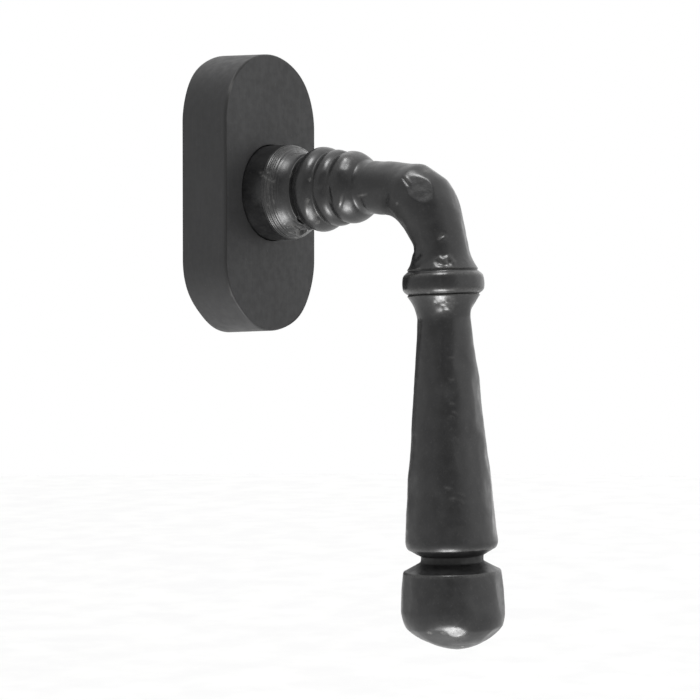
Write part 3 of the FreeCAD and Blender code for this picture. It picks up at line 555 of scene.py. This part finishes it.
def build_lever():
    """The whole forging, with its marks and the layers that its coat reads."""
    grid, along, turns, first = lever_surface()
    inner = grid[1:-1]
    skin = Skin(inner.copy(), along[1:-1], turns, first - 1)
    make_uneven(skin)
    hammer(skin)
    poles = np.array([grid[0, 0], grid[-1, 0]])
    points = np.concatenate([poles, skin.points.reshape(-1, 3)])
    faces = grid_faces(len(inner), AROUND, 2).tolist()
    last = 2 + (len(inner) - 1) * AROUND
    for k in range(AROUND):
        n = (k + 1) % AROUND
        faces.append((0, 2 + k, 2 + n))
        faces.append((last + k, 1, last + n))
    piece = new_mesh("lever_forging", points, faces)
    for name, values in [("wear_and_highlight", skin.wear_and_highlight), ("painted_shade", skin.painted_shade)]:
        layer = piece.data.attributes.new(name, "FLOAT", "POINT")
        layer.data.foreach_set("value", np.concatenate([[0, 0], values.reshape(-1)]))
    drill(piece, np.array([0.0, -GRUB_DEPTH, GRUB_HOLE_MIDDLE]), GRUB_RADIUS, GRUB_HOLE_LENGTH)
    return piece


# where the rose's hand-filed corners stand out or are cut back: bearing in degrees, millimetres
CORNER_SHIFTS = [(42, 0.25), (138, 0.45), (228, -0.5), (310, 0.55)]
CORNER_WIDTH = 19

# painted highlights on its front edge: bearing from the middle, width in degrees, how bright
RIM_HIGHLIGHTS = [(243, 4.5, 0.8), (249, 1.5, 0.4), (122, 3.5, 0.25)]


def oblong(half_width, half_height, count, filed=0.0):
    """Evenly spaced points round an upright outline with half-round ends.

    They start on the right and run anticlockwise. Filed is the share of CORNER_SHIFTS that is applied.
    """
    straight = half_height - half_width
    arc = math.pi * half_width
    points = []
    for d in np.arange(count) / count * (4 * straight + 2 * arc):
        if d < straight:
            points.append((half_width, d))
        elif d < straight + arc:
            a = (d - straight) / half_width
            points.append((half_width * math.cos(a), straight + half_width * math.sin(a)))
        elif d < 3 * straight + arc:
            points.append((-half_width, 2 * straight + arc - d))
        elif d < 3 * straight + 2 * arc:
            a = math.pi + (d - 3 * straight - arc) / half_width
            points.append((half_width * math.cos(a), -straight + half_width * math.sin(a)))
        else:
            points.append((half_width, d - 4 * straight - 2 * arc))
    points = np.array(points)
    outward = points - np.column_stack([np.zeros(count), np.clip(points[:, 1], -straight, straight)])
    bearing = np.degrees(np.arctan2(outward[:, 1], outward[:, 0])) % 360
    shift = sum(size * np.exp(-((bearing - angle) / CORNER_WIDTH) ** 2) for angle, size in CORNER_SHIFTS)
    return points + unit(outward) * (shift * filed)[:, None]


def cover_inset(points):
    """How far inside the rose's outline at the mounting face each point lies."""
    straight = ROSE_HALF_HEIGHT - ROSE_HALF_WIDTH
    beyond = points[:, :, 2] - np.clip(points[:, :, 2], -straight, straight)
    return ROSE_HALF_WIDTH - np.hypot(points[:, :, 0], beyond)


def build_cover():
    """A closed shell: hole, face, rounded front edge, side wall, back rim, and the inside of each."""
    count = ROSE_AROUND
    brink = ROSE_DEPTH + ROSE_CROWN
    inside_depth = ROSE_DEPTH - ROSE_FACE

    def loop(inset, depth, filed=1.0):
        end_inset = inset + (ROSE_END_LEAN - ROSE_LEAN) * depth / ROSE_DEPTH
        flat = oblong(ROSE_HALF_WIDTH - inset, ROSE_HALF_HEIGHT - end_inset, count, filed)
        return np.column_stack([flat[:, 0], np.full(count, -depth), flat[:, 1]])

    front = loop(ROSE_LEAN, ROSE_DEPTH)
    spokes = unit(front * (1, 0, 1))

    def hole(radius, depth):
        return radius * spokes - (0, depth, 0)

    loops = []
    for depth in np.linspace(inside_depth, brink - ROSE_LIP, 6):
        loops.append(hole(ROSE_HOLE, depth))
    for t in np.linspace(0.25, 1, 4):
        a = t * math.pi / 2
        loops.append(hole(ROSE_HOLE + ROSE_LIP * (1 - math.cos(a)), brink - ROSE_LIP * (1 - math.sin(a))))
    inner = loops[-1]
    face_edge = loop(ROSE_LEAN + ROSE_EDGE, ROSE_DEPTH)
    for t in np.linspace(0, 1, 60)[1:]:
        loops.append(inner * (1 - t) + face_edge * t)
    for t in np.linspace(0, 1, 9)[1:]:
        a = t * math.pi / 2
        inset = ROSE_LEAN + ROSE_EDGE * (1 - math.sin(a))
        loops.append(loop(inset, ROSE_DEPTH - ROSE_EDGE * (1 - math.cos(a))))
    for t in np.linspace(0, 1, 30)[1:]:
        depth = (ROSE_DEPTH - ROSE_EDGE) * (1 - t)
        loops.append(loop(ROSE_LEAN * depth / ROSE_DEPTH, max(depth, 0.0)))
    inside_lean = ROSE_LEAN * inside_depth / ROSE_DEPTH
    for t in np.linspace(0, 1, 8):
        loops.append(loop(ROSE_WALL + inside_lean * t, inside_depth * t, 0.0))
    ceiling, start = loops[-1], loops[0]
    for t in np.linspace(0, 1, 10)[1:-1]:
        loops.append(ceiling * (1 - t) + start * t)
    points = np.array(loops)
    faces = grid_faces(len(loops), count, 0)[:, ::-1].tolist()
    last = (len(loops) - 1) * count
    for k in range(count):
        n = (k + 1) % count
        faces.append((last + k, last + n, n, k))
    piece = new_mesh("rose_cover_shell", points.reshape(-1, 3), faces)
    # painted shade: a dark line along the rounded front edge
    rim = np.exp(-((points[:, :, 1] + ROSE_DEPTH) / ROSE_EDGE) ** 2)
    rim *= cover_inset(points) < ROSE_LEAN + ROSE_EDGE
    # painted highlights along the front edge, at the listed bearings
    bearing = np.degrees(np.arctan2(points[:, :, 2], points[:, :, 0])) % 360
    worn_and_glint = sum(share * np.exp(-((bearing - angle) / width) ** 2) for angle, width, share in RIM_HIGHLIGHTS)
    for name, values in [("rim", rim), ("wear_and_highlight", np.clip(rim * worn_and_glint, 0, 1))]:
        layer = piece.data.attributes.new(name, "FLOAT", "POINT")
        layer.data.foreach_set("value", values.reshape(-1))
    return piece


class Finish:
    """A node material whose pattern sizes are millimetres on the object."""

    def __init__(self, name, metallic=0.0, specular=0.5):
        self.material = bpy.data.materials.new(name)
        self.material.use_nodes = True
        self.tree = self.material.node_tree
        self.shader = self.tree.nodes["Principled BSDF"]
        self.shader.inputs["Metallic"].default_value = metallic
        self.shader.inputs["Specular IOR Level"].default_value = specular
        self.place = self.node("TexCoord").outputs["Object"]
        self.relief = None

    def node(self, kind, **settings):
        node = self.tree.nodes.new("ShaderNode" + kind)
        for key, value in settings.items():
            setattr(node, key, value)
        return node

    def link(self, source, socket):
        self.tree.links.new(source, socket)

    def cloud(self, size, detail=3.0, stretch=(1, 1, 1)):
        """Noise whose blobs are about size wide, drawn out by stretch along x, y and z."""
        mapping = self.node("Mapping")
        mapping.inputs["Scale"].default_value = [1 / (size * MM * s) for s in stretch]
        self.link(self.place, mapping.inputs["Vector"])
        blobs = self.node("TexNoise")
        blobs.inputs["Scale"].default_value = 1.0
        blobs.inputs["Detail"].default_value = detail
        blobs.inputs["Roughness"].default_value = 0.55
        self.link(mapping.outputs["Vector"], blobs.inputs["Vector"])
        return blobs.outputs["Fac"]

    def pores(self, size):
        """Distance to the nearest of a scatter of points about size apart."""
        cells = self.node("TexVoronoi")
        cells.inputs["Scale"].default_value = 1 / (size * MM)
        self.link(self.place, cells.inputs["Vector"])
        return cells.outputs["Distance"]

    def lathe_lines(self, pitch):
        """Fine rings round the turning axis, on faces and on cylinders alike."""
        flat = self.node("VectorMath", operation="MULTIPLY")
        flat.inputs[1].default_value = (1, 0, 1)
        self.link(self.place, flat.inputs[0])
        radius = self.node("VectorMath", operation="LENGTH")
        self.link(flat.outputs["Vector"], radius.inputs[0])
        axes = self.node("SeparateXYZ")
        self.link(self.place, axes.inputs["Vector"])
        travel = self.maths("ADD", radius.outputs["Value"], axes.outputs["Y"])
        rings = self.node("TexNoise", noise_dimensions="1D")
        rings.inputs["Scale"].default_value = 1 / (pitch * MM)
        rings.inputs["Detail"].default_value = 2.0
        self.link(travel, rings.inputs["W"])
        return rings.outputs["Fac"]

    def maths(self, operation, a, b):
        """One sum on two values, each a number or a socket."""
        node = self.node("Math", operation=operation)
        for socket, value in zip(node.inputs, (a, b)):
            if isinstance(value, (int, float)):
                socket.default_value = value
            else:
                self.link(value, socket)
        return node.outputs["Value"]

    def span(self, source, low, high, start=0.3, end=0.7):
        """Stretch source, between start and end, over low to high."""
        node = self.node("MapRange", interpolation_type="SMOOTHSTEP")
        node.inputs["From Min"].default_value = start
        node.inputs["From Max"].default_value = end
        node.inputs["To Min"].default_value = low
        node.inputs["To Max"].default_value = high
        self.link(source, node.inputs["Value"])
        return node.outputs["Result"]

    def mix(self, share, a, b):
        """Blend two colours, each a triple or a socket."""
        node = self.node("Mix", data_type="RGBA")
        self.link(share, node.inputs["Factor"])
        for socket, colour in zip((node.inputs[6], node.inputs[7]), (a, b)):
            if isinstance(colour, tuple):
                socket.default_value = (*colour, 1.0)
            else:
                self.link(colour, socket)
        return node.outputs[2]

    def colour(self, socket):
        self.link(socket, self.shader.inputs["Base Color"])

    def roughness(self, socket):
        self.link(socket, self.shader.inputs["Roughness"])

    def bump(self, source, rise):
        """Fine relief: rise is the height in millimetres from 0 to 1 of source."""
        node = self.node("Bump")
        node.inputs["Strength"].default_value = 1.0
        node.inputs["Distance"].default_value = rise * MM
        self.link(source, node.inputs["Height"])
        if self.relief:
            self.link(self.relief, node.inputs["Normal"])
        self.relief = node.outputs["Normal"]
        self.link(self.relief, self.shader.inputs["Normal"])


def forged_coat():
    """Satin black coat over forge scale: edges and nicks painted light as wear and as painted highlights,
    hollows duller and darkened with painted shade.
    """
    finish = Finish("forged_black_coat", specular=0.5)
    mottle = finish.cloud(3.2, 4.0)
    speckle = finish.cloud(0.55, 2.0)
    patches = finish.span(mottle, 0, 1, 0.35, 0.68)
    base = finish.mix(patches, (0.0045, 0.0045, 0.0048), (0.0085, 0.0085, 0.0088))
    base = finish.mix(finish.span(speckle, 0, 0.5, 0.56, 0.75), base, (0.022, 0.022, 0.022))
    pointed = finish.node("NewGeometry").outputs["Pointiness"]
    # painted shade: concave places found by pointiness are darkened
    painted_hollow_shade = finish.span(pointed, 1.0, 0.0, 0.4, 0.49)
    base = finish.mix(painted_hollow_shade, base, (0.005, 0.005, 0.005))
    # painted shade from the painted-shade layer: the grooves, the crook of the elbow and the notch are
    # darkened
    painted_shade = finish.node("Attribute", attribute_name="painted_shade").outputs["Fac"]
    painted_shade = finish.maths("MULTIPLY", painted_shade, finish.span(finish.cloud(2.5, 3.0), 0.75, 1.0))
    base = finish.mix(painted_shade, base, (0.004, 0.004, 0.004))
    # edges and the wear-and-highlight layer: painted light as wear and as painted highlights, and made
    # glossier
    edge = finish.span(pointed, 0, 0.8, 0.515, 0.6)
    edge = finish.maths("MULTIPLY", edge, finish.maths("SUBTRACT", 1.0, painted_shade))
    wear_and_highlight = finish.node("Attribute", attribute_name="wear_and_highlight").outputs["Fac"]
    worn_and_glint = finish.maths("MAXIMUM", edge, finish.maths("MULTIPLY", wear_and_highlight, 0.8))
    worn_and_glint = finish.maths("MULTIPLY", worn_and_glint, finish.span(speckle, 0.4, 1.0, 0.35, 0.6))
    finish.colour(finish.mix(worn_and_glint, base, (0.075, 0.074, 0.072)))
    dull = finish.span(finish.cloud(1.7, 3.0), 0.28, 0.38, 0.3, 0.7)
    dull = finish.maths("ADD", dull, finish.maths("MULTIPLY", painted_hollow_shade, 0.25))
    dull = finish.maths("ADD", dull, finish.maths("MULTIPLY", painted_shade, 0.32))
    finish.roughness(finish.maths("SUBTRACT", dull, finish.maths("MULTIPLY", worn_and_glint, 0.14)))
    finish.bump(finish.cloud(1.5, 3.0), 0.03)
    finish.bump(speckle, 0.005)
    finish.bump(finish.cloud(0.22, 1.0), 0.0015)
    return finish.material


def cover_coat():
    """The cover's coat: duller, with faint upright brush marks, painted shade as a dark line round its
    front edge, and painted highlights on that edge.
    """
    finish = Finish("cover_black_coat", specular=0.36)
    mottle = finish.cloud(4.5, 4.0)
    streaks = finish.cloud(0.55, 2.0, (1, 1, 14))
    specks = finish.cloud(0.7, 2.0, (1, 1, 2.2))
    base = finish.mix(finish.span(mottle, 0, 1), (0.0168, 0.0168, 0.0173), (0.0188, 0.0188, 0.0193))
    base = finish.mix(finish.span(streaks, 0, 0.35, 0.45, 0.75), base, (0.026, 0.026, 0.0265))
    base = finish.mix(finish.span(specks, 0, 0.5, 0.68, 0.8), base, (0.045, 0.045, 0.044))
    # painted shade along the front edge
    rim = finish.node("Attribute", attribute_name="rim").outputs["Fac"]
    base = finish.mix(finish.maths("MULTIPLY", rim, 0.9), base, (0.004, 0.004, 0.004))
    # painted highlights on the front edge
    wear_and_highlight = finish.node("Attribute", attribute_name="wear_and_highlight").outputs["Fac"]
    finish.colour(finish.mix(wear_and_highlight, base, (0.16, 0.158, 0.155)))
    finish.roughness(finish.span(finish.cloud(1.9, 3.0), 0.5, 0.62))
    finish.bump(finish.cloud(3.0, 2.0), 0.03)
    finish.bump(streaks, 0.003)
    finish.bump(finish.cloud(0.25, 1.0), 0.0015)
    return finish.material


def cast_zinc():
    """Matt die-cast zinc with flow marks and fine pores."""
    finish = Finish("cast_zinc", metallic=1.0)
    flow = finish.cloud(5.0, 5.0, (1, 1, 1.8))
    finish.colour(finish.mix(finish.span(flow, 0, 1), (0.4, 0.41, 0.42), (0.56, 0.57, 0.585)))
    finish.roughness(finish.span(finish.cloud(1.5, 3.0), 0.42, 0.6))
    finish.bump(finish.cloud(0.9, 4.0), 0.03)
    finish.bump(finish.cloud(0.2, 1.0), 0.006)
    finish.bump(finish.span(finish.pores(1.1), 0, 1, 0.02, 0.14), 0.02)
    return finish.material


def plated_steel():
    """Bright zinc plate, faintly blue and yellow, with rolling lines."""
    finish = Finish("plated_steel", metallic=1.0)
    tint = finish.cloud(3.5, 3.0)
    finish.colour(finish.mix(finish.span(tint, 0, 1), (0.42, 0.435, 0.465), (0.5, 0.485, 0.445)))
    finish.roughness(finish.span(finish.cloud(0.9, 3.0), 0.28, 0.38))
    finish.bump(finish.cloud(0.12, 2.0, (1, 1, 16)), 0.003)
    finish.bump(finish.cloud(0.6, 3.0), 0.008)
    return finish.material


def turned_steel():
    """Turned steel with its lathe lines and a thin film of oil."""
    finish = Finish("turned_steel", metallic=1.0)
    lines = finish.lathe_lines(0.12)
    stain = finish.span(finish.cloud(2.6, 4.0), 0, 1)
    finish.colour(finish.mix(stain, (0.33, 0.33, 0.335), (0.5, 0.495, 0.485)))
    finish.roughness(finish.span(lines, 0.2, 0.36))
    finish.bump(lines, 0.006)
    finish.bump(finish.cloud(0.5, 3.0), 0.004)
    return finish.material


def spring_steel():
    """Oiled spring steel with a blue-grey temper film."""
    finish = Finish("spring_steel", metallic=1.0)
    temper = finish.span(finish.cloud(2.0, 4.0), 0, 1)
    finish.colour(finish.mix(temper, (0.13, 0.135, 0.155), (0.27, 0.265, 0.25)))
    finish.roughness(finish.span(finish.cloud(0.6, 2.0), 0.24, 0.4))
    finish.bump(finish.cloud(0.1, 2.0, (12, 1, 1)), 0.0025)
    finish.bump(finish.cloud(0.45, 3.0), 0.004)
    return finish.material


def bearing_steel():
    """Polished steel balls with hair-fine handling marks."""
    finish = Finish("bearing_steel", metallic=1.0)
    haze = finish.span(finish.cloud(0.7, 3.0), 0, 1)
    finish.colour(finish.mix(haze, (0.6, 0.6, 0.61), (0.72, 0.72, 0.72)))
    finish.roughness(finish.span(finish.cloud(0.3, 4.0), 0.06, 0.15))
    finish.bump(finish.cloud(0.05, 2.0, (1, 8, 1)), 0.0004)
    return finish.material


def black_oxide():
    """Black oxide on the grub screw, rubbed grey on its edges."""
    finish = Finish("black_oxide", metallic=0.85)
    edge = finish.span(finish.node("NewGeometry").outputs["Pointiness"], 0, 0.8, 0.52, 0.62)
    base = finish.mix(finish.span(finish.cloud(0.8, 3.0), 0, 1), (0.022, 0.022, 0.025), (0.05, 0.05, 0.053))
    finish.colour(finish.mix(edge, base, (0.2, 0.2, 0.2)))
    finish.roughness(finish.span(finish.cloud(0.4, 3.0), 0.32, 0.5))
    finish.bump(finish.lathe_lines(0.15), 0.006)
    finish.bump(finish.cloud(0.2, 2.0), 0.003)
    return finish.material


def moulded_plastic(name, dark, light, roughness):
    """Moulded plastic: a spark-eroded skin, slightly uneven in colour."""
    finish = Finish(name, specular=0.45)
    finish.colour(finish.mix(finish.span(finish.cloud(2.8, 3.0), 0, 1), dark, light))
    finish.roughness(finish.span(finish.cloud(0.8, 3.0), roughness - 0.07, roughness + 0.07))
    finish.bump(finish.cloud(0.14, 2.0), 0.004)
    finish.bump(finish.cloud(1.4, 2.0), 0.01)
    return finish.material


def natural_nylon():
    """Uncoloured nylon, which lets a little light in."""
    nylon = moulded_plastic("natural_nylon", (0.66, 0.64, 0.57), (0.76, 0.745, 0.69), 0.46)
    shader = nylon.node_tree.nodes["Principled BSDF"]
    shader.inputs["Subsurface Weight"].default_value = 0.15
    shader.inputs["Subsurface Scale"].default_value = 0.8 * MM
    return nylon


def floor_finish():
    """Pale studio paper, a little uneven."""
    finish = Finish("floor_pale")
    shade = finish.span(finish.cloud(60.0, 3.0), 0, 1)
    finish.colour(finish.mix(shade, (0.76, 0.76, 0.76), (0.8, 0.8, 0.795)))
    finish.roughness(finish.span(finish.cloud(9.0, 3.0), 0.75, 0.85))
    finish.shader.inputs["Emission Color"].default_value = (1, 1, 1, 1)
    finish.shader.inputs["Emission Strength"].default_value = 0.12
    return finish.material


def coat_frame_nodes():
    """Give every carried-over piece its own metal or plastic."""
    acetal = moulded_plastic("black_acetal", (0.018, 0.018, 0.019), (0.03, 0.03, 0.031), 0.42)
    pieces_by_finish = [
        (cast_zinc(), ["base_plate"]),
        (plated_steel(), ["backing_plate", "backing_screws", "thrust_washer", "cover_spring_rivets"]),
        (turned_steel(), ["spindle_hub", "index_disc"]),
        (spring_steel(), ["spring_washer", "retaining_clip", "detent_spring_upper", "detent_spring_lower",
                          "cover_spring_upper", "cover_spring_lower"]),
        (bearing_steel(), ["detent_ball_upper", "detent_ball_lower"]),
        (black_oxide(), ["grub_screw"]),
        (natural_nylon(), ["rear_bush", "front_bush"]),
        (acetal, ["detent_cage"]),
    ]
    for finish, names in pieces_by_finish:
        for name in names:
            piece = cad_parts[name]
            for slot in piece.material_slots:
                slot.material = finish


# the photograph's camera: place in millimetres, bearing and dip in degrees, lens and sensor width
CAMERA_PLACE = (-391.40, -324.67, -24.30)
CAMERA_AZIMUTH = -53.58
CAMERA_DIP = -1.46
CAMERA_LENS = 108.93
CAMERA_SENSOR = 36.0

# the floor: how far below the handle it lies, and its radius
FLOOR_DROP = 300
FLOOR_REACH = 4000


def direction(azimuth, elevation):
    """Unit vector from the object towards an azimuth, measured like the camera's, and an elevation."""
    a, e = math.radians(azimuth), math.radians(elevation)
    return Vector((math.sin(a) * math.cos(e), -math.cos(a) * math.cos(e), math.sin(e)))


def build_stage():
    """A plain pale floor, well below the handle."""
    sides = 64
    a = np.arange(sides) * 2 * math.pi / sides
    level = np.full(sides, lever_low[2] - FLOOR_DROP)
    rim = np.column_stack([FLOOR_REACH * np.cos(a), FLOOR_REACH * np.sin(a), level])
    floor = new_mesh("floor", rim, [range(sides)], smooth=False)
    floor.data.materials.append(floor_finish())


def build_camera():
    """The camera that sees the handle as the photograph does."""
    camera = bpy.data.cameras.new("camera")
    camera.lens = CAMERA_LENS
    camera.sensor_width = CAMERA_SENSOR
    camera.clip_start = 0.01
    holder = bpy.data.objects.new("camera", camera)
    bpy.context.scene.collection.objects.link(holder)
    holder.location = Vector(CAMERA_PLACE) * MM
    holder.rotation_euler = (math.pi / 2 + math.radians(CAMERA_DIP), 0.0, math.radians(CAMERA_AZIMUTH))
    bpy.context.scene.camera = holder


# where the lamps point, in metres: just under the neck, beside the elbow
LIGHT_TARGET = (0, -0.045, -0.02)


def area_light(name, azimuth, elevation, distance, size, power):
    """A softbox that faces the handle. Distance and size are in metres, power in watts."""
    light = bpy.data.lights.new(name, "AREA")
    light.shape = "RECTANGLE"
    light.size, light.size_y = size
    light.energy = power
    holder = bpy.data.objects.new(name, light)
    bpy.context.scene.collection.objects.link(holder)
    away = direction(azimuth, elevation)
    holder.location = Vector(LIGHT_TARGET) + away * distance
    holder.rotation_euler = away.to_track_quat("Z", "Y").to_euler()
    holder.visible_camera = False


WALL_BRIGHTNESS = 1.4

# places of the room that are darker than its white walls: azimuth, elevation, inner and outer
# half-angle in degrees, and how much of the light they take
ZONES = [
    (CAMERA_AZIMUTH, 0, 16, 50, 0.6),
    (CAMERA_AZIMUTH - 12, 48, 8, 40, 0.65),
    (CAMERA_AZIMUTH - 152, 0, 8, 40, 0.9),
    (CAMERA_AZIMUTH - 80, 0, 25, 75, 0.44),
]


def build_world():
    """White walls with soft darker zones. The camera itself sees plain white."""
    world = bpy.data.worlds.new("studio")
    bpy.context.scene.world = world
    world.use_nodes = True
    tree = world.node_tree
    nodes, links = tree.nodes, tree.links
    background = nodes["Background"]
    background.inputs["Color"].default_value = (1, 1, 1, 1)
    place = nodes.new("ShaderNodeTexCoord")
    brightness = None
    for azimuth, elevation, inner, outer, share in ZONES:
        dot = nodes.new("ShaderNodeVectorMath")
        dot.operation = "DOT_PRODUCT"
        links.new(place.outputs["Generated"], dot.inputs[0])
        dot.inputs[1].default_value = direction(azimuth, elevation)
        zone = nodes.new("ShaderNodeMapRange")
        zone.interpolation_type = "SMOOTHSTEP"
        zone.inputs["From Min"].default_value = math.cos(math.radians(outer))
        zone.inputs["From Max"].default_value = math.cos(math.radians(inner))
        zone.inputs["To Min"].default_value = 1.0
        zone.inputs["To Max"].default_value = 1.0 - share
        links.new(dot.outputs["Value"], zone.inputs["Value"])
        product = nodes.new("ShaderNodeMath")
        product.operation = "MULTIPLY"
        if brightness is None:
            product.inputs[0].default_value = WALL_BRIGHTNESS
        else:
            links.new(brightness, product.inputs[0])
        links.new(zone.outputs["Result"], product.inputs[1])
        brightness = product.outputs["Value"]
    seen = nodes.new("ShaderNodeLightPath")
    strength = nodes.new("ShaderNodeMix")
    links.new(seen.outputs["Is Camera Ray"], strength.inputs["Factor"])
    links.new(brightness, strength.inputs["A"])
    strength.inputs["B"].default_value = 1.0
    links.new(strength.outputs["Result"], background.inputs["Strength"])


def build_light():
    """The room, and one softbox over the handle and one under it."""
    build_world()
    bpy.context.scene.view_settings.view_transform = "Standard"
    area_light("upper_softbox", CAMERA_AZIMUTH - 20, 72, 0.45, (0.11, 0.16), 1.2)
    area_light("lower_softbox", CAMERA_AZIMUTH - 8, -66, 0.36, (0.12, 0.15), 1.3)


lever = build_lever()
lever.data.materials.append(forged_coat())
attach(lever, "lever_assembly")
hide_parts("lever")
cover = build_cover()
cover.data.materials.append(cover_coat())
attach(cover, "cover")
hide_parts("rose_cover")
coat_frame_nodes()
build_stage()
build_camera()
build_light()
